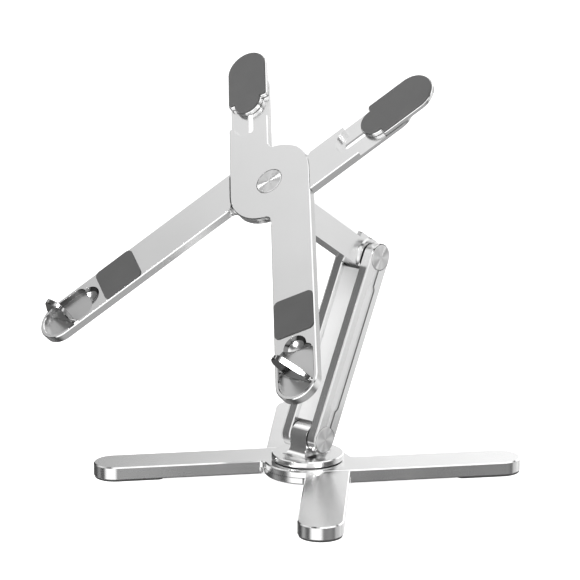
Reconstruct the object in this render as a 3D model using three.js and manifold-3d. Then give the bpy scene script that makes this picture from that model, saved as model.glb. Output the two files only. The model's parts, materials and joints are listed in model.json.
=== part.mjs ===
// Folding laptop stand: a cross-shaped base, a swivelling two-link arm and an X-shaped tray.
// Millimetres, +Z up. The origin is on the hub axis, on the surface that the stand rests on.
// X runs along the hinge pins, and a user sits on the -Y side, in front of the tray.
import * as THREE from 'three';
import { mergeVertices } from 'three/addons/utils/BufferGeometryUtils.js';
import Module from 'manifold-3d';

const wasm = await Module();
wasm.setup();

// ---- Driving dimensions ----
const GAP = 0.3;            // clearance between neighbouring pieces
const THIN_GAP = 0.15;      // clearance of a thin washer or pad in its seat
const SAG = 0.04;           // furthest that a facet may lie inside its true arc
const CUT = 1;              // how far a cutter runs past the face that it opens
const PLAY = 0.3;           // radial play of a shank or pin in its bore

const BASE = {
  hub: 26, edge: 0.2, reach: 126, thick: 8, foot: 0.8, fillet: 3, round: 3.5, chamfer: 0.7,
  upperHeading: 52.8, lowerHeading: 310.2, footLength: 40, footCornerR: 3, coverR: 14,
};
const BOLT = { shankR: 4, headR: 8, headThick: 1.5, top: 16 };
const TURRET = {
  radius: 21.45, gap: 0.4, thick: 3.9, chamfer: 0.6, lugHalf: 6.2, knuckleR: 8.2, pinHeight: 23.3,
  flareFront: 5.5, flareSide: 3.8, ringInner: 10, ringOuter: 17, ringThick: 0.7,
};
const PIN = {
  radius: 3.5, half: 12.3, chamfer: 0.3, capR: 7.6, capIn: 12.9, capOut: 14.2, washerR: 6.8, washerThick: 0.45,
};
const LOWER = {
  length: 112.8, lean: 25.2, inner: 6.95, outer: 13.9, half: 8.3, chamfer: 0.6, webHalf: 5.3, webEnd: 10,
  grooveWidth: 7, grooveDepth: 1, grooveFrom: 17, grooveTo: 95.8, neckWidth: 4,
};
const UPPER = {
  length: 82.5, slope: 33.05, halfWidth: 5.15, half: 9.3, chamfer: 3.1, knuckle: 6.2, bossR: 10.2,
  shoulder: 10, taper: 6, eyeR: 6.3, chamferRunOut: 14,
};
const TRAY = {
  tilt: 43, offset: 15.5, thick: 5.4, hub: 26, edge: 0.2, spread: 34.7, fillet: 4.5, round: 4.9,
  chamfer: 0.5, lowerReach: 160.2, tongueReach: 92.5, layer: 2.7,
};
const LIP = { end: 52, noseR: 9.5 };
const SLOT = { width: 3.5, inner: 46.5, outer: 85, seatWidth: 7, seatDepth: 1.3 };
const SLIDER = {
  shoulder: 69.5, tip: 108, noseTip: 60, noseR: 9, cornerR: 1.5, screws: [66, 83], chamfer: 0.3,
};
const PAD = {
  inset: 0.75, sliderInset: 0.6, from: 90.7, to: 116.6, cornerR: 3.2, seat: 0.6, rise: 0.8, sliderRise: 1.2,
  chamfer: 0.25,
};
const POCKET = { half: 10.6, depth: 3.3, back: 126, centre: 147.2, cornerR: 5, rim: 0.45 };
const SCOOP = { along: 125.5, radius: 7.2, ballR: 10 };
const FLAP = {
  along: 146.5, thick: 3, skew: 34.7, chamfer: 0.5, pinR: 0.8, pinIn: 15.2, pinOut: 11.8, footR: 1,
  inX: -8, outX: 10, outTop: [2.2, 18.7, 6.8], inTop: [-11, 15.9, 7.6], tall: 30,
};
const PIVOT = {
  headR: 8.05, headThick: 1.4, proud: 0.25, edge: 0.3, shankR: 4, washerR: 10, washerThick: 0.45,
};
const BRACKET = {
  plateHalf: 9, plateThick: 3.2, cornerR: 3, earInner: 5.45, earOuter: 9.6, earR: 6.8, pinR: 3, chamfer: 0.4,
  capR: 5.6, capThick: 1.2,
};
const GUIDE = { shankR: 1.45, headR: 3.1, headThick: 0.9, top: -1.45 };

const rad = THREE.MathUtils.degToRad;
const deg = THREE.MathUtils.radToDeg;

// ---- Materials ----
const metal = (color, roughness) => new THREE.MeshStandardMaterial({ color, roughness, metalness: 1 });
const satinAluminium = () => metal(0xd4d4d4, 0.3);
const turnedAluminium = () => metal(0xc8c8c8, 0.22);
const darkSteel = () => metal(0x8a8a8a, 0.4);
const greyRubber = () => new THREE.MeshStandardMaterial({ color: 0x656565, roughness: 0.85, metalness: 0 });
const blackRubber = () => new THREE.MeshStandardMaterial({ color: 0x2a2a2a, roughness: 0.9, metalness: 0 });
const acetal = () => new THREE.MeshStandardMaterial({ color: 0x3a3a3a, roughness: 0.5, metalness: 0 });

// The turn in degrees between two points of an arc, so that its facets keep to SAG.
const arcStep = (radius) => Math.min(45, 2 * deg(Math.acos(1 - SAG / Math.max(radius, 2 * SAG))));
const facets = (radius) => 4 * Math.ceil(90 / arcStep(radius));

// ---- Outlines: straight runs between points, and arcs by formula ----
class Outline {
  constructor() {
    this.points = [];
  }

  to(x, y) {
    const point = new THREE.Vector2(x, y);
    const last = this.points.at(-1);
    if (!last || last.distanceTo(point) > 1e-3) this.points.push(point);
    return this;
  }

  arc(x, y, radius, from, to) {
    const steps = Math.max(1, Math.ceil(Math.abs(to - from) / arcStep(radius)));
    for (let i = 0; i <= steps; i += 1) {
      const angle = rad(from + ((to - from) * i) / steps);
      this.to(x + radius * Math.cos(angle), y + radius * Math.sin(angle));
    }
    return this;
  }

  // Adds another outline's points, turned about the origin.
  join(other, angle) {
    for (const point of other.points) {
      const moved = point.clone().rotateAround(new THREE.Vector2(), rad(angle));
      this.to(moved.x, moved.y);
    }
    return this;
  }

  flipped() {
    const copy = new Outline();
    for (const point of this.points) copy.to(point.x, -point.y);
    return copy;
  }

  shape() {
    const points = this.points.slice();
    if (points[0].distanceTo(points.at(-1)) < 1e-3) points.pop();
    return new THREE.Shape(points);
  }
}

// A slot or bar with round ends, between two points on a line along X.
function stadium(x0, x1, y, radius) {
  return new Outline().arc(x1, y, radius, -90, 90).arc(x0, y, radius, 90, 270);
}

// A rectangle with four round corners.
function roundBox(x0, x1, y0, y1, radius) {
  return new Outline()
    .arc(x1 - radius, y1 - radius, radius, 0, 90)
    .arc(x0 + radius, y1 - radius, radius, 90, 180)
    .arc(x0 + radius, y0 + radius, radius, 180, 270)
    .arc(x1 - radius, y0 + radius, radius, 270, 360);
}

// A convex polygon with its own radius at each corner, corners given anticlockwise.
function roundPolygon(corners) {
  const outline = new Outline();
  corners.forEach(([x, y, radius], i) => {
    const corner = new THREE.Vector2(x, y);
    const [px, py] = corners.at(i - 1);
    const [nx, ny] = corners[(i + 1) % corners.length];
    const back = new THREE.Vector2(px, py).sub(corner).normalize();
    const ahead = new THREE.Vector2(nx, ny).sub(corner).normalize();
    const half = back.angleTo(ahead) / 2;
    const toCentre = back.clone().add(ahead).normalize().multiplyScalar(radius / Math.sin(half));
    const centre = corner.add(toCentre);
    const from = deg(back.angle()) + 90;
    outline.arc(centre.x, centre.y, radius, from, from + 180 - deg(2 * half));
  });
  return outline;
}

// ---- Solids ----
function solid(geometry) {
  const bare = geometry.index ? geometry : mergeVertices(geometry);
  bare.deleteAttribute('normal');
  bare.deleteAttribute('uv');
  const merged = mergeVertices(bare, 1e-4);
  const position = merged.attributes.position.array;
  const corners = Array.from(merged.index.array);
  const triangles = [];
  for (let i = 0; i < corners.length; i += 3) {
    const [a, b, c] = corners.slice(i, i + 3);
    if (a !== b && b !== c && c !== a) triangles.push(a, b, c);
  }
  const mesh = new wasm.Mesh({
    numProp: 3,
    vertProperties: new Float32Array(position),
    triVerts: new Uint32Array(triangles),
  });
  return new wasm.Manifold(mesh);
}

function extrude(outline, z0, z1, chamfer = 0) {
  const geometry = new THREE.ExtrudeGeometry(outline.shape(), {
    depth: z1 - z0 - 2 * chamfer,
    bevelEnabled: chamfer > 0,
    bevelThickness: chamfer,
    bevelSize: chamfer,
    bevelOffset: -chamfer,
    bevelSegments: 1,
  });
  return solid(geometry.translate(0, 0, z0 + chamfer));
}

function lathe(profile) {
  const points = profile.map(([r, z]) => new THREE.Vector2(r, z));
  const widest = Math.max(...profile.map(([r]) => r));
  return solid(new THREE.LatheGeometry(points, facets(widest)).rotateX(Math.PI / 2));
}

function rod(radius, z0, z1, chamfer = 0) {
  const low = chamfer ? [[radius - chamfer, z0], [radius, z0 + chamfer]] : [[radius, z0]];
  const high = chamfer ? [[radius, z1 - chamfer], [radius - chamfer, z1]] : [[radius, z1]];
  return lathe([[0, z0], ...low, ...high, [0, z1]]);
}

function ring(inner, outer, z0, z1) {
  return lathe([[inner, z0], [outer, z0], [outer, z1], [inner, z1], [inner, z0]]);
}

function block(x0, x1, y0, y1, z0, z1) {
  const box = new THREE.BoxGeometry(x1 - x0, y1 - y0, z1 - z0);
  return solid(box.translate((x0 + x1) / 2, (y0 + y1) / 2, (z0 + z1) / 2));
}

const add = (...solids) => solids.reduce((sum, piece) => sum.add(piece));
const cut = (body, ...tools) => tools.reduce((rest, tool) => rest.subtract(tool), body);
const turned = (body, angle) => body.rotate([0, 0, angle]);

// Sends a solid's own Z to X (and X to Y, Y to Z), for what runs along a hinge pin.
const alongX = (body) => body.transform([0, 1, 0, 0, 0, 0, 1, 0, 1, 0, 0, 0, 0, 0, 0, 1]);

function piece(name, body, material, parent) {
  const mesh = body.getMesh();
  const geometry = new THREE.BufferGeometry();
  geometry.setAttribute('position', new THREE.BufferAttribute(mesh.vertProperties, 3));
  geometry.setIndex(new THREE.BufferAttribute(mesh.triVerts, 1));
  const node = new THREE.Mesh(geometry, material);
  node.name = name;
  parent.add(node);
  return node;
}

// ---- Crossed bars, shared by the base and the tray ----
// One half of a Z-shaped bar: a leg along +X below the centre line, and half of the hub disc.
function halfBar(hub, edge, reach, fillet) {
  const tip = (hub - edge) / 2;
  const filletY = fillet - edge;
  const filletX = Math.sqrt((hub + fillet) ** 2 - filletY ** 2);
  const meet = deg(Math.atan2(filletY, filletX));
  return new Outline()
    .arc(reach - tip, -edge - tip, tip, -90, 90)
    .arc(filletX, filletY, fillet, 270, 180 + meet)
    .arc(0, 0, hub, meet, 90);
}

function zBar(spec, reachFront, reachBack, grow = 0) {
  const hub = spec.hub + grow;
  const edge = spec.edge - grow;
  const fillet = spec.fillet - grow;
  return halfBar(hub, edge, reachFront + grow, fillet)
    .join(halfBar(hub, edge, reachBack + grow, fillet), 180);
}

// The mirrored bar's room in one layer. This bar loses its leg corners and fillets beside the hub there,
// so the two can fold until their legs lie side by side.
function lapCutter(spec, reachFront, reachBack, angle, z0, z1) {
  const room = spec.hub + GAP;
  const drop = spec.edge + spec.round;
  const centreX = Math.sqrt((room + spec.round) ** 2 - drop ** 2);
  const filletTop = spec.fillet + CUT;
  const corner = new Outline()
    .arc(centreX, -drop, spec.round, 90, 180 - deg(Math.atan2(drop, centreX)))
    .to(room - 2 * spec.round, -drop / 2)
    .to(room - 2 * spec.round, filletTop)
    .to(centreX, filletTop);
  const cornerTool = extrude(corner, z0, z1);
  const other = extrude(zBar(spec, reachFront, reachBack, GAP).flipped(), z0, z1);
  return add(turned(other, angle), cornerTool, turned(cornerTool, 180));
}

// ---- Base ----
const baseTop = BASE.foot + BASE.thick;
const legHalf = (BASE.hub - BASE.edge) / 2;
const mirrored = (body) => body.mirror([0, 1, 0]);

function baseBar(isUpper) {
  const { reach, foot, thick, chamfer, upperHeading, lowerHeading } = BASE;
  const middle = foot + thick / 2;
  const low = isUpper ? foot - CUT : middle - GAP / 2;
  const high = isUpper ? middle + GAP / 2 : baseTop + CUT;
  const bar = extrude(zBar(BASE, reach, reach), foot, baseTop, chamfer);
  const room = lapCutter(BASE, reach, reach, lowerHeading - upperHeading, low, high);
  const shaped = cut(bar, room, rod(BOLT.shankR + PLAY, foot - CUT, baseTop + CUT));
  if (isUpper) return shaped;
  const headSeat = rod(BOLT.headR + PLAY, foot - CUT, foot + BOLT.headThick + 2 * GAP);
  return mirrored(cut(shaped, headSeat));
}

function basePad() {
  const half = legHalf - BASE.chamfer;
  const middle = -BASE.edge - legHalf;
  const from = BASE.reach - BASE.footLength;
  const end = new Outline()
    .arc(BASE.reach - legHalf, middle, half, -90, 90)
    .arc(from + BASE.footCornerR, middle + half - BASE.footCornerR, BASE.footCornerR, 90, 180)
    .arc(from + BASE.footCornerR, middle - half + BASE.footCornerR, BASE.footCornerR, 180, 270);
  return extrude(end, 0, BASE.foot);
}

// ---- Turret ----
const discBottom = baseTop + TURRET.gap;
const discTop = discBottom + TURRET.thick;
const ringBottom = baseTop + GAP;
const ringTop = ringBottom + TURRET.ringThick;

// A side view of the lug: a column that flares into the disc at its foot.
function flaredColumn(half, flare, top) {
  const wide = half + flare;
  return new Outline()
    .to(-wide, discTop - CUT)
    .to(wide, discTop - CUT)
    .arc(wide, discTop + flare, flare, 270, 180)
    .to(half, top)
    .to(-half, top)
    .arc(-wide, discTop + flare, flare, 0, -90);
}

function swivelTurret() {
  const { radius, chamfer, lugHalf, knuckleR, pinHeight, flareFront, flareSide } = TURRET;
  const disc = rod(radius, discBottom, discTop, chamfer);
  const wide = lugHalf + flareSide;
  const deep = knuckleR + flareFront;
  const column = alongX(extrude(flaredColumn(knuckleR, flareFront, pinHeight), -wide, wide));
  const knuckle = alongX(rod(knuckleR, -wide, wide)).translate([0, 0, pinHeight]);
  const top = pinHeight + knuckleR + CUT;
  const slab = extrude(flaredColumn(lugHalf, flareSide, top), -deep, deep).rotate([90, 0, 0]);
  const lug = add(column, knuckle).intersect(slab);
  const seat = ring(TURRET.ringInner - GAP, TURRET.ringOuter + GAP, discBottom - CUT, ringTop + GAP);
  const boltBore = rod(BOLT.shankR + PLAY, discBottom - CUT, BOLT.top + GAP);
  const pinBore = alongX(rod(PIN.radius + PLAY, -wide, wide)).translate([0, 0, pinHeight]);
  return cut(add(disc, lug), seat, boltBore, pinBore);
}

function pivotBolt() {
  const { headR, headThick, shankR, top } = BOLT;
  const head = BASE.foot + GAP;
  const under = head + headThick;
  return lathe([[0, head], [headR, head], [headR, under], [shankR, under], [shankR, top], [0, top]]);
}

// ---- Hinge hardware along X ----
const leftHand = (body) => body.mirror([1, 0, 0]);
const hingePin = (radius, half) => alongX(rod(radius, -half, half, PIN.chamfer));
const hingeCap = () => alongX(rod(PIN.capR, PIN.capIn, PIN.capOut, PIN.chamfer));

function hingeWasher() {
  const middle = (TURRET.lugHalf + LOWER.inner) / 2;
  const half = PIN.washerThick / 2;
  return alongX(ring(PIN.radius + PLAY, PIN.washerR, middle - half, middle + half));
}

function addHingeSet(name, group) {
  piece(`${name}_pin`, hingePin(PIN.radius, PIN.half), darkSteel(), group);
  piece(`${name}_cap_right`, hingeCap(), turnedAluminium(), group);
  piece(`${name}_cap_left`, leftHand(hingeCap()), turnedAluminium(), group);
  piece(`${name}_washer_right`, hingeWasher(), acetal(), group);
  piece(`${name}_washer_left`, leftHand(hingeWasher()), acetal(), group);
}

// ---- Lower link: along +Z from the lower pin to the elbow pin ----
// An outline drawn along X, standing up along Z and thick along X.
const upright = (outline, x0, x1, chamfer) => alongX(extrude(outline, x0, x1, chamfer)).rotate([90, 0, 0]);

function cheek() {
  const { length, inner, outer, half, chamfer, grooveDepth, grooveWidth, grooveFrom, grooveTo } = LOWER;
  const floor = outer - grooveDepth;
  const end = grooveWidth / 2;
  const plate = upright(stadium(0, length, 0, half), inner, outer, chamfer);
  const groove = upright(stadium(grooveFrom + end, grooveTo - end, 0, end), floor, outer + CUT);
  const neck = upright(stadium(0, length, 0, LOWER.neckWidth / 2), floor, outer + CUT);
  const seat = alongX(rod(PIN.capR + GAP, PIN.capIn - GAP, outer + CUT));
  return cut(plate, groove, neck, seat, seat.translate([0, 0, length]));
}

function lowerLink() {
  const { length, inner, outer, webHalf, webEnd } = LOWER;
  const room = alongX(rod(webEnd, -inner, inner));
  const webBlock = block(-inner - CUT, inner + CUT, -webHalf, webHalf, 0, length - webEnd);
  const web = cut(webBlock, alongX(rod(webEnd, -outer, outer)));
  const bore = alongX(rod(PIN.radius + PLAY, -outer, outer));
  const body = add(cheek(), leftHand(cheek()), web);
  return cut(body, room, bore, bore.translate([0, 0, length]));
}

// ---- Upper link: along +Z from the elbow pin to the tray hinge ----
function upperLink() {
  const { length, halfWidth, half, chamfer, knuckle, bossR, shoulder, taper, eyeR, chamferRunOut } = UPPER;
  const neck = length - shoulder;
  const side = new Outline()
    .arc(0, 0, half, 90, 270)
    .to(neck - taper, -half)
    .to(neck, -eyeR)
    .arc(length, 0, eyeR, -90, 90)
    .to(neck, eyeR)
    .to(neck - taper, half);
  const section = new Outline()
    .to(-halfWidth, -half - CUT)
    .to(halfWidth, -half - CUT)
    .to(halfWidth, half - chamfer)
    .to(halfWidth - chamfer, half)
    .to(chamfer - halfWidth, half)
    .to(-halfWidth, half - chamfer);
  const chamfered = extrude(section, chamferRunOut, length + half);
  const plain = block(-halfWidth, halfWidth, -half - CUT, half + CUT, -half - CUT, chamferRunOut);
  const bar = upright(side, -knuckle, knuckle).intersect(add(chamfered, plain));
  const rimR = bossR + knuckle - halfWidth;
  const boss = alongX(lathe([[0, -knuckle], [bossR, -knuckle], [rimR, -halfWidth],
    [rimR, halfWidth], [bossR, knuckle], [0, knuckle]])).intersect(upright(side, -knuckle, knuckle));
  const pinBore = alongX(rod(PIN.radius + PLAY, -knuckle - CUT, knuckle + CUT));
  const eyeBore = alongX(rod(BRACKET.pinR + PLAY, -knuckle, knuckle)).translate([0, 0, length]);
  return cut(add(bar, boss), pinBore, eyeBore);
}

// ---- Tray centre, in the tray's frame: X across, Y up the tray, z = 0 at the arms' front face ----
const bracketFront = -TRAY.thick - GAP;
const bracketBack = bracketFront - BRACKET.plateThick;

function trayBracket() {
  const { plateHalf, cornerR, earInner, earOuter, earR, pinR, chamfer } = BRACKET;
  const plate = extrude(roundBox(-earOuter, earOuter, -plateHalf, plateHalf, cornerR),
    bracketBack, bracketFront, chamfer);
  const earShape = new Outline()
    .to(plateHalf - CUT, bracketFront - CUT)
    .to(CUT - plateHalf, bracketFront - CUT)
    .arc(0, -TRAY.offset, earR, 180, 360);
  const ear = alongX(extrude(earShape, earInner, earOuter, chamfer));
  const pinBore = alongX(rod(pinR + PLAY, -earOuter - CUT, earOuter + CUT)).translate([0, 0, -TRAY.offset]);
  const screwBore = rod(PIVOT.shankR + PLAY, bracketBack - CUT, bracketFront + CUT);
  return cut(add(plate, ear, leftHand(ear)), pinBore, screwBore);
}

function trayCap() {
  const { earOuter, capR, capThick } = BRACKET;
  return alongX(rod(capR, earOuter + THIN_GAP, earOuter + THIN_GAP + capThick, PIN.chamfer));
}

function pivotScrew() {
  const { headR, headThick, proud, shankR, edge } = PIVOT;
  const under = proud - headThick;
  const end = bracketBack + THIN_GAP;
  return lathe([[0, end], [shankR, end], [shankR, under], [headR, under],
    [headR, proud - edge], [headR - edge, proud], [0, proud]]);
}

function pivotWasher() {
  const top = -TRAY.layer;
  return ring(PIVOT.shankR + PLAY, PIVOT.washerR, top - PIVOT.washerThick, top);
}

// ---- Tray arms: the lower end is along +X, its outer side is +Y, and z = 0 carries the laptop ----
const armHalf = (TRAY.hub - TRAY.edge) / 2;
const armMiddle = TRAY.edge + armHalf;
const frontLayerFloor = GAP / 2 - TRAY.layer;
const rearLayerTop = -GAP / 2 - TRAY.layer;

function pocketOutline(grow) {
  const { half, back, centre, cornerR } = POCKET;
  const wide = half + grow;
  const r = cornerR + grow;
  const from = back - grow;
  return new Outline()
    .arc(centre, armMiddle, wide, -90, 90)
    .arc(from + r, armMiddle + wide - r, r, 90, 180)
    .arc(from + r, armMiddle - wide + r, r, 180, 270);
}

function lowerPadOutline(grow) {
  const wide = armHalf - PAD.inset + grow;
  return roundBox(PAD.from - grow, PAD.to + grow, armMiddle - wide, armMiddle + wide, PAD.cornerR);
}

function sliderOutline(inset) {
  const { shoulder, tip, noseTip, noseR, cornerR } = SLIDER;
  const half = armHalf - inset;
  const edge = -shoulder - inset;
  const r = cornerR;
  return new Outline()
    .arc(-noseTip - noseR, -armMiddle, noseR - inset, -90, 90)
    .to(edge, -armMiddle + noseR - inset)
    .arc(edge - r, -armMiddle + half - r, r, 0, 90)
    .arc(armHalf - tip, -armMiddle, half, 90, 270)
    .arc(edge - r, -armMiddle - half + r, r, 270, 360)
    .to(edge, -armMiddle - noseR + inset);
}

// Sends the flap's frame to the arm's: X along the pin, Y back towards the hub, Z up from the face.
const onArm = (body) => turned(body, 90 - FLAP.skew).translate([FLAP.along, armMiddle, 0]);
const pinLine = (radius, extra) => alongX(rod(radius, -FLAP.pinIn - extra, FLAP.pinOut + extra))
  .translate([0, FLAP.thick / 2, -FLAP.thick / 2]);

function slotTool(radius, z0, z1) {
  const r = SLOT.width / 2;
  return extrude(stadium(r - SLOT.outer, -SLOT.inner - r, -armMiddle, radius), z0, z1);
}

function trayArm(isFront) {
  const { thick, chamfer, lowerReach, tongueReach, spread, hub } = TRAY;
  const bar = extrude(zBar(TRAY, lowerReach, tongueReach).flipped(), -thick, 0, chamfer);
  const low = isFront ? -thick - CUT : rearLayerTop;
  const high = isFront ? frontLayerFloor : CUT;
  const room = mirrored(lapCutter(TRAY, lowerReach, tongueReach, 2 * spread, low, high));
  const past = tongueReach + CUT;
  const lip = add(block(-past, -LIP.end, -hub - CUT, CUT, rearLayerTop, CUT),
    rod(LIP.noseR, rearLayerTop, CUT).translate([-LIP.end, -armMiddle, 0]));
  const slot = slotTool(SLOT.width / 2, -thick - CUT, CUT);
  const screwWay = slotTool(SLOT.seatWidth / 2, -thick - CUT, SLOT.seatDepth - thick);
  const padSeat = extrude(lowerPadOutline(THIN_GAP), -PAD.seat, CUT);
  const pocket = extrude(pocketOutline(0), -POCKET.depth, CUT);
  const pocketRim = extrude(pocketOutline(POCKET.rim), -POCKET.rim, CUT, POCKET.rim);
  const ballHeight = Math.sqrt(SCOOP.ballR ** 2 - SCOOP.radius ** 2);
  const ball = solid(new THREE.SphereGeometry(SCOOP.ballR, 24, 16).rotateX(Math.PI / 2));
  const scoop = ball.translate([SCOOP.along, armMiddle, ballHeight]);
  const pinHole = onArm(pinLine(FLAP.pinR + THIN_GAP / 2, THIN_GAP));
  const screwBore = rod(PIVOT.shankR + PLAY, -thick - CUT, CUT);
  const seat = isFront
    ? rod(PIVOT.headR + GAP, PIVOT.proud - PIVOT.headThick - GAP, CUT)
    : rod(PIVOT.washerR + GAP, -TRAY.layer - PIVOT.washerThick - THIN_GAP, CUT);
  return cut(bar, room, lip, slot, screwWay, padSeat, pocket, pocketRim, scoop, pinHole, screwBore, seat);
}

const lowerPad = () => extrude(lowerPadOutline(0), THIN_GAP - PAD.seat, PAD.rise, PAD.chamfer);

function slider() {
  const { screws, chamfer } = SLIDER;
  const plate = extrude(sliderOutline(0), frontLayerFloor, 0, chamfer);
  const seat = extrude(sliderOutline(PAD.sliderInset - THIN_GAP), -PAD.seat, CUT);
  const holes = screws.map((x) => rod(GUIDE.shankR + THIN_GAP, frontLayerFloor - CUT, GUIDE.top + THIN_GAP)
    .translate([-x, -armMiddle, 0]));
  return cut(plate, seat, ...holes);
}

function sliderPad() {
  return extrude(sliderOutline(PAD.sliderInset), THIN_GAP - PAD.seat, PAD.sliderRise, PAD.chamfer);
}

function guideScrew(x) {
  const { headR, headThick, shankR, top } = GUIDE;
  const end = THIN_GAP - TRAY.thick;
  const under = end + headThick;
  return lathe([[0, end], [headR, end], [headR, under], [shankR, under], [shankR, top], [0, top]])
    .translate([-x, -armMiddle, 0]);
}

// The flap stands on its pin, and folded back it lies inside the pocket.
function stopFlap() {
  const { thick, chamfer, along, skew, pinR, footR, inX, outX, outTop, inTop, tall } = FLAP;
  const face = roundPolygon([[inX, -thick, footR], [outX, -thick, footR], outTop, inTop]);
  const plate = extrude(face, -thick, 0, chamfer).rotate([90, 0, 0]);
  const middle = thick / 2;
  const foot = new Outline()
    .arc(middle, -middle, middle, 180, 360)
    .to(thick, tall)
    .to(0, tall);
  const rounded = alongX(extrude(foot, -tall, tall));
  const inPocket = extrude(pocketOutline(-GAP), -thick, 0).translate([-along, -armMiddle, 0]);
  const folded = turned(inPocket, skew - 90);
  const standing = folded.translate([0, -thick, 0]).rotate([90, 0, 0]);
  return onArm(cut(plate.intersect(rounded).intersect(standing), pinLine(pinR + THIN_GAP / 2, THIN_GAP)));
}

const stopPin = () => onArm(pinLine(FLAP.pinR, 0));

// ---- Assembly ----
function group(parent, place = [0, 0, 0], axis = 'x', angle = 0) {
  const child = new THREE.Group();
  child.position.set(...place);
  child.rotation[axis] = rad(angle);
  parent.add(child);
  return child;
}

function addBase(root) {
  const upper = group(root, [0, 0, 0], 'z', BASE.upperHeading);
  piece('base_bar_upper', baseBar(true), satinAluminium(), upper);
  piece('foot_right', basePad(), blackRubber(), upper);
  piece('foot_left', turned(basePad(), 180), blackRubber(), upper);
  const lower = group(root, [0, 0, 0], 'z', BASE.lowerHeading);
  piece('base_bar_lower', baseBar(false), satinAluminium(), lower);
  piece('foot_front', mirrored(basePad()), blackRubber(), lower);
  piece('foot_rear', turned(mirrored(basePad()), 180), blackRubber(), lower);
  piece('hub_cover', rod(BASE.coverR, 0, BASE.foot), blackRubber(), lower);
}

function addTurret(root) {
  piece('swivel_turret', swivelTurret(), satinAluminium(), root);
  piece('base_pivot_bolt', pivotBolt(), darkSteel(), root);
  piece('swivel_ring', ring(TURRET.ringInner, TURRET.ringOuter, ringBottom, ringTop), acetal(), root);
}

function addLinks(root) {
  const lower = group(root, [0, 0, TURRET.pinHeight], 'x', -LOWER.lean);
  piece('lower_link', lowerLink(), satinAluminium(), lower);
  addHingeSet('lower_hinge', lower);
  const elbow = group(lower, [0, 0, LOWER.length], 'x', LOWER.lean + 90 - UPPER.slope);
  piece('upper_link', upperLink(), satinAluminium(), elbow);
  addHingeSet('elbow', elbow);
  return group(elbow, [0, 0, UPPER.length], 'x', UPPER.slope - TRAY.tilt);
}

function addTrayCentre(hinge) {
  piece('tray_hinge_pin', hingePin(BRACKET.pinR, BRACKET.earOuter), darkSteel(), hinge);
  piece('tray_hinge_cap_right', trayCap(), turnedAluminium(), hinge);
  piece('tray_hinge_cap_left', leftHand(trayCap()), turnedAluminium(), hinge);
  const tray = group(hinge, [0, 0, TRAY.offset]);
  piece('tray_bracket', trayBracket(), satinAluminium(), tray);
  piece('tray_pivot_screw', pivotScrew(), turnedAluminium(), tray);
  piece('tray_pivot_washer', pivotWasher(), acetal(), tray);
  return tray;
}

function addArm(tray, name, isFront) {
  const hand = isFront ? (body) => body : mirrored;
  const heading = isFront ? TRAY.spread : -TRAY.spread;
  const arm = group(tray, [0, 0, 0], 'z', heading - 90);
  piece(`${name}_arm`, hand(trayArm(isFront)), satinAluminium(), arm);
  piece(`${name}_lower_pad`, hand(lowerPad()), greyRubber(), arm);
  piece(`${name}_slider`, hand(slider()), satinAluminium(), arm);
  piece(`${name}_slider_pad`, hand(sliderPad()), greyRubber(), arm);
  SLIDER.screws.forEach((x, i) => {
    piece(`${name}_guide_screw_${i + 1}`, hand(guideScrew(x)), darkSteel(), arm);
  });
  piece(`${name}_stop_flap`, hand(stopFlap()), turnedAluminium(), arm);
  piece(`${name}_stop_pin`, hand(stopPin()), darkSteel(), arm);
}

function laptopStand() {
  const root = new THREE.Group();
  addBase(root);
  addTurret(root);
  const tray = addTrayCentre(addLinks(root));
  addArm(tray, 'front', true);
  addArm(tray, 'rear', false);
  return root;
}

export default laptopStand();
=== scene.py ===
"""Blender scene of the folding laptop stand: materials, edges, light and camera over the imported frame."""

import json
import math

import bpy
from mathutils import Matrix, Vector

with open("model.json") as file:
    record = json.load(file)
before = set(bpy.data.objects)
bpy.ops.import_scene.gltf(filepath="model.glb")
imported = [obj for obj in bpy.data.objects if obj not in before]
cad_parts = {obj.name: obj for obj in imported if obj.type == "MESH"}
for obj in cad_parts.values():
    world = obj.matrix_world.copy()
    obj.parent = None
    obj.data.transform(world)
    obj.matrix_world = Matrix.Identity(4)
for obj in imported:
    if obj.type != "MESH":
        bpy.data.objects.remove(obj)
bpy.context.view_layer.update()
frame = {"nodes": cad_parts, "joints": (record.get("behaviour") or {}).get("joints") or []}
nodes = frame["nodes"]
joints = {joint["name"]: joint for joint in frame["joints"]}

# ---- Directions and places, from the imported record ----
UP = Vector((0, 0, 1))
ACROSS = Vector((1, 0, 0))
TRAY_NORMAL = Vector(joints["rear_arm_fold"]["axis"])
TRAY_CENTRE = Vector(joints["rear_arm_fold"]["pos_m"])
LOWER_PIN = Vector(joints["lower_hinge"]["pos_m"])
ELBOW = Vector(joints["elbow_hinge"]["pos_m"])
TRAY_HINGE = Vector(joints["tray_tilt"]["pos_m"])
LOWER_ALONG = (ELBOW - LOWER_PIN).normalized()
UPPER_ALONG = (TRAY_HINGE - ELBOW).normalized()
UPPER_LEG = math.radians(52.8)      # heading of the upper base bar's right leg
LOWER_LEG = math.radians(310.2)     # heading of the lower base bar's front leg
ARM_ALONG = {side: Vector(joints[f"{side}_slider_travel"]["axis"]) for side in ("front", "rear")}
WEB_HALF = 0.0069                   # the lower link's web lies within this of its middle plane
GROOVE_FLOOR = 0.0129               # the grooves in its cheeks are cut down to this far from that plane
GROOVE_HALF = 0.0038                # and stay within this of the link's centre line
PAD_RISE = 0.0008                   # the lower pads stand this far above the arms
POCKET_LEVEL = 0.003                # below the arm's face by more than this is milled floor
POCKET_REACH = 0.030                # the flap's pocket and notch end within this of the flap's pin
POCKET_HALF = 0.0118                # and within this of the arm's centre line
EDGE = 0.00012                      # width of the visual rounding on the bars', links' and flaps' edges
ARM_EDGE = 0.0001                   # the same on the tray's arms


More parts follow.
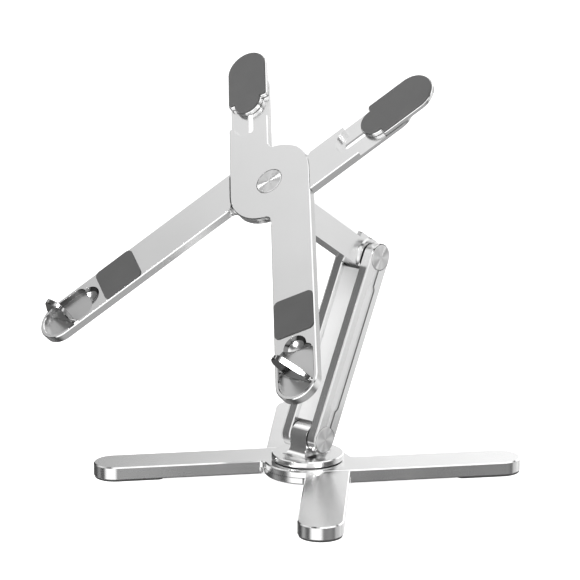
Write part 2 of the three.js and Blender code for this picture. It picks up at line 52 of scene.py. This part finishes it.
# ---- Material building ----
class Graph:
    """A small helper that adds shader nodes and links them by position."""

    def __init__(self, name):
        self.material = bpy.data.materials.new(name)
        self.material.use_nodes = True
        self.tree = self.material.node_tree
        self.shader = self.tree.nodes["Principled BSDF"]
        self.coords = self.tree.nodes.new("ShaderNodeTexCoord")
        self.place = self.coords.outputs["Object"]
        self.normal = self.coords.outputs["Normal"]

    def feed(self, socket, value):
        if isinstance(value, bpy.types.NodeSocket):
            self.tree.links.new(value, socket)
        else:
            socket.default_value = value

    def math(self, operation, *values):
        node = self.tree.nodes.new("ShaderNodeMath")
        node.operation = operation
        for socket, value in zip(node.inputs, values):
            self.feed(socket, value)
        return node.outputs[0]

    def vector(self, operation, *values, output="Vector"):
        node = self.tree.nodes.new("ShaderNodeVectorMath")
        node.operation = operation
        for socket, value in zip(node.inputs, values):
            self.feed(socket, value)
        return node.outputs[output]

    def dot(self, socket, direction):
        return self.vector("DOT_PRODUCT", socket, tuple(direction), output="Value")

    def combine(self, x, y, z):
        node = self.tree.nodes.new("ShaderNodeCombineXYZ")
        for socket, value in zip(node.inputs, (x, y, z)):
            self.feed(socket, value)
        return node.outputs[0]

    def noise(self, vector, scale, detail=2.0, rough=0.5):
        node = self.tree.nodes.new("ShaderNodeTexNoise")
        node.inputs["Scale"].default_value = scale
        node.inputs["Detail"].default_value = detail
        node.inputs["Roughness"].default_value = rough
        self.feed(node.inputs["Vector"], vector)
        return node.outputs["Fac"]

    def remap(self, value, low, high, to_low, to_high):
        node = self.tree.nodes.new("ShaderNodeMapRange")
        for socket, given in zip(node.inputs, (value, low, high, to_low, to_high)):
            self.feed(socket, given)
        return node.outputs[0]

    def mix(self, factor, first, second):
        node = self.tree.nodes.new("ShaderNodeMix")
        node.data_type = "RGBA"
        for name, value in (("Factor_Float", factor), ("A_Color", first), ("B_Color", second)):
            socket = next(s for s in node.inputs if s.identifier == name)
            self.feed(socket, value)
        return next(s for s in node.outputs if s.identifier == "Result_Color")

    def grey_mix(self, factor, first, second):
        return self.mix(factor, (first, first, first, 1), (second, second, second, 1))

    def bump(self, height, strength, distance):
        node = self.tree.nodes.new("ShaderNodeBump")
        node.inputs["Strength"].default_value = strength
        node.inputs["Distance"].default_value = distance
        self.feed(node.inputs["Height"], height)
        self.feed(self.shader.inputs["Normal"], node.outputs["Normal"])

    def set(self, **sockets):
        for name, value in sockets.items():
            self.feed(self.shader.inputs[name.replace("_", " ")], value)
        return self.material


def grain(graph, along, face):
    """Fine brushing that runs along a piece, as a noise from 0 to 1."""
    side = Vector(along).cross(Vector(face)).normalized()
    u = graph.math("MULTIPLY", graph.dot(graph.place, along), 18.0)
    v = graph.math("MULTIPLY", graph.dot(graph.place, side), 2600.0)
    w = graph.math("MULTIPLY", graph.dot(graph.place, face), 2600.0)
    return graph.noise(graph.combine(u, v, w), 1.0, detail=3.0, rough=0.6)


def chamfer_mask(graph, face):
    """1 on the faces cut at 45 degrees to the piece's main face."""
    lean = graph.math("ABSOLUTE", graph.dot(graph.normal, face))
    return graph.math("COMPARE", lean, math.sqrt(0.5), 0.14)


def satin_aluminium(name, along, face, blasted=None, recess=None, dark=None, tone=(0.80, 0.86), cut=0.97):
    """Brushed aluminium with diamond-cut chamfers; tone is its range of greys and cut is the chamfers' grey.

    blasted(graph) masks what is bead-blasted and pale, and dark(graph) where deep shade is painted as dark
    grey;
    recess is the height along face of a milled floor."""
    graph = Graph(name)
    fine = grain(graph, along, face)
    broad = graph.noise(graph.place, 22.0, detail=3.0)
    edge = chamfer_mask(graph, face)
    colour = graph.grey_mix(graph.remap(broad, 0.3, 0.7, 0.0, 1.0), *tone)
    base = graph.remap(fine, 0.2, 0.8, 0.20, 0.23)
    rough = graph.math("ADD", base, graph.remap(broad, 0.3, 0.7, -0.015, 0.015))
    metal = 1.0
    if recess is not None:
        below = graph.math("LESS_THAN", graph.dot(graph.place, face), recess)
        facing = graph.math("GREATER_THAN", graph.dot(graph.normal, face), 0.9)
        sunk = graph.math("MULTIPLY", below, facing)
        rough = graph.math("ADD", rough, graph.math("MULTIPLY", sunk, 0.14))
        colour = graph.mix(sunk, colour, (0.66, 0.66, 0.66, 1))
        edge = graph.math("MULTIPLY", edge, graph.math("SUBTRACT", 1.0, sunk))
    if blasted:
        pale = blasted(graph)
        grit = graph.noise(graph.place, 1800.0, detail=3.0)
        rough = graph.math("ADD", rough, graph.math("MULTIPLY", pale, 0.35))
        colour = graph.mix(pale, colour, graph.grey_mix(grit, 0.64, 0.71))
        edge = graph.math("MULTIPLY", edge, graph.math("SUBTRACT", 1.0, pale))
        metal = graph.math("SUBTRACT", 1.0, graph.math("MULTIPLY", pale, 0.75))
    rough = graph.math("SUBTRACT", rough, graph.math("MULTIPLY", edge, 0.10))
    colour = graph.mix(edge, colour, (cut, cut, cut, 1))
    # Painted shade: where dark(graph) marks, the colour becomes a flat dark grey for the shade in grooves
    # and pockets.
    if dark:
        colour = graph.mix(dark(graph), colour, (0.20, 0.20, 0.20, 1))
    graph.bump(fine, 0.01, 0.00004)
    return graph.set(Base_Color=colour, Roughness=rough, Metallic=metal)


def groove_wall_painted_shade(graph):
    """The narrow side walls of those grooves, painted dark as painted shade so they show as thin dark lines.
    """
    side = graph.math("ABSOLUTE", graph.dot(graph.place, ACROSS))
    centred = graph.vector("SUBTRACT", graph.place, tuple(LOWER_PIN))
    reach = graph.math("ABSOLUTE", graph.dot(centred, LOWER_ALONG.cross(ACROSS)))
    near = graph.math("MULTIPLY", graph.math("GREATER_THAN", side, GROOVE_FLOOR - 0.0001),
                      graph.math("LESS_THAN", reach, GROOVE_HALF))
    level = graph.math("LESS_THAN", graph.math("ABSOLUTE", graph.dot(graph.normal, ACROSS)), 0.8)
    return graph.math("MULTIPLY", near, level)


def link_blasting(graph):
    """The lower link's web, and the floors of the grooves in its cheeks."""
    side = graph.math("ABSOLUTE", graph.dot(graph.place, ACROSS))
    web = graph.math("LESS_THAN", side, WEB_HALF)
    floor_of_groove = graph.math("COMPARE", side, GROOVE_FLOOR, 0.0002)
    return graph.math("MAXIMUM", web, floor_of_groove)


def spun_aluminium(name, centre, axis):
    """A turned face: grooves run round the axis, so highlights fan out from the centre; four lighter spokes
    are also painted into its colour as a painted highlight.
    """
    graph = Graph(name)
    offset = graph.vector("SUBTRACT", graph.place, tuple(centre))
    round_axis = graph.vector("CROSS_PRODUCT", offset, tuple(axis))
    turn = graph.tree.nodes.new("ShaderNodeVectorTransform")
    turn.vector_type = "VECTOR"
    turn.convert_from = "OBJECT"
    turn.convert_to = "WORLD"
    graph.feed(turn.inputs[0], graph.vector("NORMALIZE", round_axis))
    radius = graph.vector("LENGTH", round_axis, output="Value")
    rings = graph.noise(graph.combine(graph.math("MULTIPLY", radius, 5200.0), 0.0, 0.0), 1.0, detail=2.0)
    smudge = graph.noise(graph.place, 120.0)
    turned = graph.remap(rings, 0.2, 0.8, 0.28, 0.35)
    rough = graph.math("ADD", turned, graph.remap(smudge, 0.3, 0.7, -0.02, 0.02))
    graph.bump(rings, 0.10, 0.00003)
    graph.feed(graph.shader.inputs["Tangent"], turn.outputs[0])
    # Painted highlight: the colour is lightest along four spokes, level and upright from the centre, and
    # falls to 0.78 grey between them.
    first, second = spokes(graph, offset, axis, radius)
    painted_spoke_highlight = graph.math("MULTIPLY", graph.math("MULTIPLY", first, second), 2.0)
    painted_spoke_highlight = graph.math("POWER", graph.math("ABSOLUTE", painted_spoke_highlight), 1.6)
    colour = graph.grey_mix(graph.math("ADD", graph.math("MULTIPLY", rings, 0.15), painted_spoke_highlight), 1.0, 0.78)
    return graph.set(Base_Color=colour, Roughness=rough, Metallic=1.0, Anisotropic=1.0)


def spokes(graph, offset, axis, radius):
    """Cosine and sine of the angle round the axis."""
    level = Vector(axis).cross(UP).normalized()
    rise = level.cross(Vector(axis)).normalized()
    safe = graph.math("MAXIMUM", radius, 0.00001)
    return [graph.math("DIVIDE", graph.dot(offset, direction), safe) for direction in (level, rise)]


def polished_aluminium(name, face):
    """The stop flaps: bright round the rim, with faces and edges painted dark grey as a painted dark
    reflection.
    """
    graph = Graph(name)
    cloud = graph.noise(graph.place, 160.0, detail=3.0)
    rim = graph.math("LESS_THAN", graph.math("ABSOLUTE", graph.dot(graph.normal, face)), 0.35)
    rough = graph.remap(cloud, 0.3, 0.7, 0.09, 0.13)
    graph.bump(cloud, 0.04, 0.0001)
    # Painted reflection: away from the rim the colour is a near-black grey for the dark the faces reflect.
    colour = graph.mix(rim, graph.grey_mix(cloud, 0.22, 0.28), graph.grey_mix(cloud, 0.78, 0.88))
    return graph.set(Base_Color=colour, Roughness=rough, Metallic=1.0)


def plain_steel(name):
    graph = Graph(name)
    cloud = graph.noise(graph.place, 400.0, detail=3.0)
    graph.bump(cloud, 0.05, 0.00005)
    colour = graph.grey_mix(cloud, 0.40, 0.52)
    return graph.set(Base_Color=colour, Roughness=graph.remap(cloud, 0, 1, 0.3, 0.42), Metallic=1.0)


def rubber(name, dark, light, bump_scale):
    """Moulded silicone with a very fine matte grain."""
    graph = Graph(name)
    fine = graph.noise(graph.place, bump_scale, detail=4.0, rough=0.65)
    broad = graph.noise(graph.place, 60.0, detail=2.0)
    blend = graph.math("ADD", graph.math("MULTIPLY", fine, 0.6), graph.math("MULTIPLY", broad, 0.4))
    tone = graph.remap(blend, 0.3, 0.7, 0.0, 1.0)
    graph.bump(fine, 0.25, 0.00012)
    colour = graph.grey_mix(tone, dark, light)
    graph.set(Sheen_Weight=0.15, Sheen_Roughness=0.5)
    return graph.set(Base_Color=colour, Roughness=graph.remap(fine, 0.2, 0.8, 0.62, 0.8), Metallic=0.0)


# ---- Edges: smooth shading within curved walls, and a hair-fine rounding where faces meet ----
SOFT_ANGLE = math.radians(32)       # edges flatter than this shade smooth
FLAT_ANGLE = math.radians(0.4)      # faces closer to one plane than this are merged before rounding
WELD_REACH = 2e-6                   # corners of neighbouring faces closer than this are one corner


def shade(node, rounding):
    weld = node.modifiers.new("weld", "WELD")
    weld.merge_threshold = WELD_REACH
    if rounding:
        flat = node.modifiers.new("merge_flat", "DECIMATE")
        flat.decimate_type = "DISSOLVE"
        flat.angle_limit = FLAT_ANGLE
        bevel = node.modifiers.new("edge_rounding", "BEVEL")
        bevel.width = rounding
        bevel.segments = 2
        bevel.limit_method = "ANGLE"
        bevel.angle_limit = SOFT_ANGLE
        bevel.use_clamp_overlap = True
        bevel.miter_outer = "MITER_ARC"
    smooth = node.modifiers.new("smooth_walls", "NODES")
    smooth.node_group = smooth_group()
    weigh = node.modifiers.new("flat_faces_stay_flat", "WEIGHTED_NORMAL")
    weigh.mode = "FACE_AREA"
    weigh.weight = 50
    weigh.keep_sharp = True


def smooth_group():
    """A geometry node group that shades smooth, except across edges sharper than SOFT_ANGLE."""
    known = bpy.data.node_groups.get("smooth_by_angle")
    if known:
        return known
    group = bpy.data.node_groups.new("smooth_by_angle", "GeometryNodeTree")
    group.interface.new_socket("Geometry", in_out="INPUT", socket_type="NodeSocketGeometry")
    group.interface.new_socket("Geometry", in_out="OUTPUT", socket_type="NodeSocketGeometry")
    start = group.nodes.new("NodeGroupInput")
    end = group.nodes.new("NodeGroupOutput")
    angle = group.nodes.new("GeometryNodeInputMeshEdgeAngle")
    below = group.nodes.new("FunctionNodeCompare")
    below.operation = "LESS_THAN"
    below.inputs[1].default_value = SOFT_ANGLE
    faces = group.nodes.new("GeometryNodeSetShadeSmooth")
    faces.domain = "FACE"
    edges = group.nodes.new("GeometryNodeSetShadeSmooth")
    edges.domain = "EDGE"
    group.links.new(angle.outputs["Unsigned Angle"], below.inputs[0])
    group.links.new(start.outputs[0], faces.inputs["Geometry"])
    group.links.new(faces.outputs[0], edges.inputs["Geometry"])
    group.links.new(below.outputs[0], edges.inputs["Shade Smooth"])
    group.links.new(edges.outputs[0], end.inputs[0])
    return group


def finish_node(name, material, rounding=0.0):
    """Gives a frame node its material, and its edges a visual rounding of that width, or none."""
    node = nodes[name]
    node.data.materials.clear()
    node.data.materials.append(material)
    shade(node, rounding)


def heading(angle):
    return Vector((math.cos(angle), math.sin(angle), 0))


# ---- Base ----
def finish_base():
    feet = rubber("foot_rubber", 0.018, 0.032, 2500.0)
    for bar, leg in (("upper", UPPER_LEG), ("lower", LOWER_LEG)):
        metal = satin_aluminium(f"base_{bar}_aluminium", heading(leg), UP, tone=(0.81, 0.87))
        finish_node(f"base_bar_{bar}", metal, EDGE)
    for name in ("foot_right", "foot_left", "foot_front", "foot_rear", "hub_cover"):
        finish_node(name, feet)
    finish_node("swivel_turret", satin_aluminium("turret_aluminium", ACROSS, UP), EDGE)


# ---- Links and their hinges ----
def finish_links():
    lower = satin_aluminium("lower_link_aluminium", LOWER_ALONG, ACROSS, blasted=link_blasting,
                            dark=groove_wall_painted_shade, cut=0.80)
    finish_node("lower_link", lower, EDGE)
    finish_node("upper_link", satin_aluminium("upper_link_aluminium", UPPER_ALONG, ACROSS, cut=0.78))
    finish_node("tray_bracket", satin_aluminium("bracket_aluminium", ACROSS, TRAY_NORMAL))
    for hinge, centre in (("lower_hinge", LOWER_PIN), ("elbow", ELBOW), ("tray_hinge", TRAY_HINGE)):
        spun = spun_aluminium(f"{hinge}_cap_aluminium", centre, ACROSS)
        finish_node(f"{hinge}_cap_right", spun)
        finish_node(f"{hinge}_cap_left", spun)


# ---- Tray ----
def tray_height():
    """How far the lower pads' faces lie along the tray's normal."""
    pad = nodes["front_lower_pad"].data
    return max(vertex.co.dot(TRAY_NORMAL) for vertex in pad.vertices)


def pocket_wall_painted_shade(graph, side):
    """The steep walls of the stop flap's pocket and finger notch, from the flap's pin towards the hub, where
    shade is painted dark.
    """
    along = ARM_ALONG[side]
    sideways = TRAY_NORMAL.cross(along).normalized()
    across = [vertex.co.dot(sideways) for vertex in nodes[f"{side}_lower_pad"].data.vertices]
    start = Vector(joints[f"{side}_flap_fold"]["pos_m"]).dot(along)
    reach = graph.math("COMPARE", graph.dot(graph.place, along), start + POCKET_REACH / 2, POCKET_REACH / 2)
    middle = (min(across) + max(across)) / 2
    width = graph.math("COMPARE", graph.dot(graph.place, sideways), middle, POCKET_HALF)
    steep = graph.math("COMPARE", graph.dot(graph.normal, TRAY_NORMAL), 0.1, 0.75)
    return graph.math("MULTIPLY", graph.math("MULTIPLY", reach, width), steep)


def finish_tray():
    lower_rubber = rubber("lower_pad_rubber", 0.052, 0.068, 3200.0)
    upper_rubber = rubber("upper_pad_rubber", 0.070, 0.088, 3200.0)
    face_height = tray_height() - PAD_RISE
    finish_node("tray_pivot_screw", spun_aluminium("pivot_screw_aluminium", TRAY_CENTRE, TRAY_NORMAL))
    for side, along in ARM_ALONG.items():
        metal = satin_aluminium(f"{side}_arm_aluminium", along, TRAY_NORMAL,
                                recess=face_height - POCKET_LEVEL,
                                dark=lambda graph, side=side: pocket_wall_painted_shade(graph, side))
        finish_node(f"{side}_arm", metal, ARM_EDGE)
        finish_node(f"{side}_slider", metal)
        flap_face = TRAY_NORMAL.cross(Vector(joints[f"{side}_flap_fold"]["axis"])).normalized()
        finish_node(f"{side}_stop_flap", polished_aluminium(f"{side}_flap_aluminium", flap_face), EDGE)
        finish_node(f"{side}_lower_pad", lower_rubber)
        finish_node(f"{side}_slider_pad", upper_rubber)


def finish_small_parts():
    steel = plain_steel("plain_steel")
    acetal = rubber("washer_acetal", 0.02, 0.03, 900.0)
    for name in sorted(nodes):
        if "washer" in name or name == "swivel_ring":
            finish_node(name, acetal)
        elif name.endswith("_pin") or "guide_screw" in name or name == "base_pivot_bolt":
            finish_node(name, steel)


# ---- Studio ----
ROOM_LEVEL = 0.06                   # brightness of the room between the panels
FLOOR_HALF = 4.5


def floor():
    """A plain pale floor, which the metal doesn't reflect."""
    mesh = bpy.data.meshes.new("floor")
    half = FLOOR_HALF
    corners = [(-half, -half, 0), (half, -half, 0), (half, half, 0), (-half, half, 0)]
    mesh.from_pydata(corners, [], [(0, 1, 2, 3)])
    plane = bpy.data.objects.new("floor", mesh)
    bpy.context.scene.collection.objects.link(plane)
    material = bpy.data.materials.new("pale_floor")
    material.use_nodes = True
    tree = material.node_tree
    tree.nodes.clear()
    output = tree.nodes.new("ShaderNodeOutputMaterial")
    paper = tree.nodes.new("ShaderNodeBsdfDiffuse")
    paper.inputs["Color"].default_value = (0.93, 0.93, 0.93, 1)
    glow = tree.nodes.new("ShaderNodeEmission")
    glow.inputs["Strength"].default_value = 0.62
    lit = tree.nodes.new("ShaderNodeAddShader")
    clear = tree.nodes.new("ShaderNodeBsdfTransparent")
    path = tree.nodes.new("ShaderNodeLightPath")
    choose = tree.nodes.new("ShaderNodeMixShader")
    tree.links.new(paper.outputs[0], lit.inputs[0])
    tree.links.new(glow.outputs[0], lit.inputs[1])
    tree.links.new(path.outputs["Is Glossy Ray"], choose.inputs[0])
    tree.links.new(lit.outputs[0], choose.inputs[1])
    tree.links.new(clear.outputs[0], choose.inputs[2])
    tree.links.new(choose.outputs[0], output.inputs[0])
    mesh.materials.append(material)


def world_light():
    """A studio as seen in the metal: bright panels behind, in front and overhead, in a darker room."""
    world = bpy.data.worlds.new("studio")
    bpy.context.scene.world = world
    world.use_nodes = True
    tree = world.node_tree
    background = tree.nodes["Background"]
    background.inputs["Color"].default_value = (1, 1, 1, 1)
    coords = tree.nodes.new("ShaderNodeTexCoord")

    def combine(operation, first, second):
        node = tree.nodes.new("ShaderNodeMath")
        node.operation = operation
        for socket, value in zip(node.inputs, (first, second)):
            if isinstance(value, bpy.types.NodeSocket):
                tree.links.new(value, socket)
            else:
                socket.default_value = value
        return node.outputs[0]

    def panel(direction, low, high, strength):
        """strength where the view along a direction is closer than high (a cosine), fading to 0 at low."""
        toward = tree.nodes.new("ShaderNodeVectorMath")
        toward.operation = "DOT_PRODUCT"
        toward.inputs[1].default_value = Vector(direction).normalized()
        tree.links.new(coords.outputs["Generated"], toward.inputs[0])
        ramp = tree.nodes.new("ShaderNodeMapRange")
        ramp.interpolation_type = "SMOOTHSTEP"
        tree.links.new(toward.outputs["Value"], ramp.inputs[0])
        for socket, value in zip(ramp.inputs[1:5], (low, high, 0.0, strength)):
            socket.default_value = value
        return ramp.outputs[0]

    # The wall behind ends at a lower edge, is dimmer to the right, and has a dark gap in the middle.
    wall = combine("MULTIPLY", panel((0, 1, -0.35), 0.43, 0.64, 1.22), panel((0, 0, 1), -0.45, -0.25, 1.0))
    wall = combine("MULTIPLY", wall, combine("ADD", panel((-1, 0, 0), -0.60, -0.30, 0.32), 0.68))
    wall = combine("SUBTRACT", wall, panel((0.12, 0.99, -0.02), 0.94, 0.98, 0.70))
    overhead = [
        panel((-0.6, 0, 1), 0.80, 1.02, 1.15),
        panel((0.2, 0.2, 1), 0.80, 0.92, 1.15),
        panel((-0.5, 0.55, 0.65), 0.92, 0.98, 0.75),
    ]
    front = [
        panel((0.72, -0.58, 0.38), 0.86, 0.95, 1.0),
        panel((0.37, -0.92, -0.15), 0.79, 0.92, 1.25),
        panel((-0.55, -0.45, -0.70), 0.87, 0.95, 1.0),
    ]
    faint = [
        panel((0.6, 0, -0.8), 0.70, 0.95, 0.38),
        panel((-0.67, -0.65, 0.35), 0.75, 0.93, 0.10),
        panel((-0.67, 0.5, -0.55), 0.78, 0.93, 0.14),
        panel((0.93, -0.3, -0.2), 0.80, 0.94, 0.14),
    ]
    level = 0.0
    for each in [wall, *overhead, *front, *faint]:
        level = combine("MAXIMUM", each, level)
    level = combine("ADD", level, ROOM_LEVEL)
    tree.links.new(level, background.inputs["Strength"])


def area_light(name, place, target, size, watts):
    data = bpy.data.lights.new(name, "AREA")
    data.shape = "RECTANGLE"
    data.size, data.size_y = size
    data.energy = watts
    light = bpy.data.objects.new(name, data)
    bpy.context.scene.collection.objects.link(light)
    light.location = place
    light.rotation_euler = (Vector(target) - Vector(place)).to_track_quat("-Z", "Y").to_euler()


def camera():
    azimuth = math.radians(43.63)
    elevation = math.radians(13.41)
    distance = 1.4867
    target = Vector((-0.0076, -0.00725, 0.1117))
    level = math.cos(elevation)
    away = Vector((math.sin(azimuth) * level, -math.cos(azimuth) * level, math.sin(elevation)))
    data = bpy.data.cameras.new("camera")
    data.sensor_width = 36.0
    data.lens = 158.06
    data.clip_end = 50.0
    eye = bpy.data.objects.new("camera", data)
    bpy.context.scene.collection.objects.link(eye)
    eye.location = target + away * distance
    eye.rotation_euler = (-away).to_track_quat("-Z", "Y").to_euler()
    bpy.context.scene.camera = eye


finish_base()
finish_links()
finish_tray()
finish_small_parts()
floor()
world_light()
area_light("front_fill", (-0.2, -1.5, 1.0), (0, 0, 0.1), (0.5, 0.5), 16.0)
area_light("side_fill", (1.5, -0.3, 0.8), (0, 0, 0.1), (0.5, 0.5), 8.0)
camera()
bpy.context.scene.view_settings.view_transform = "Standard"
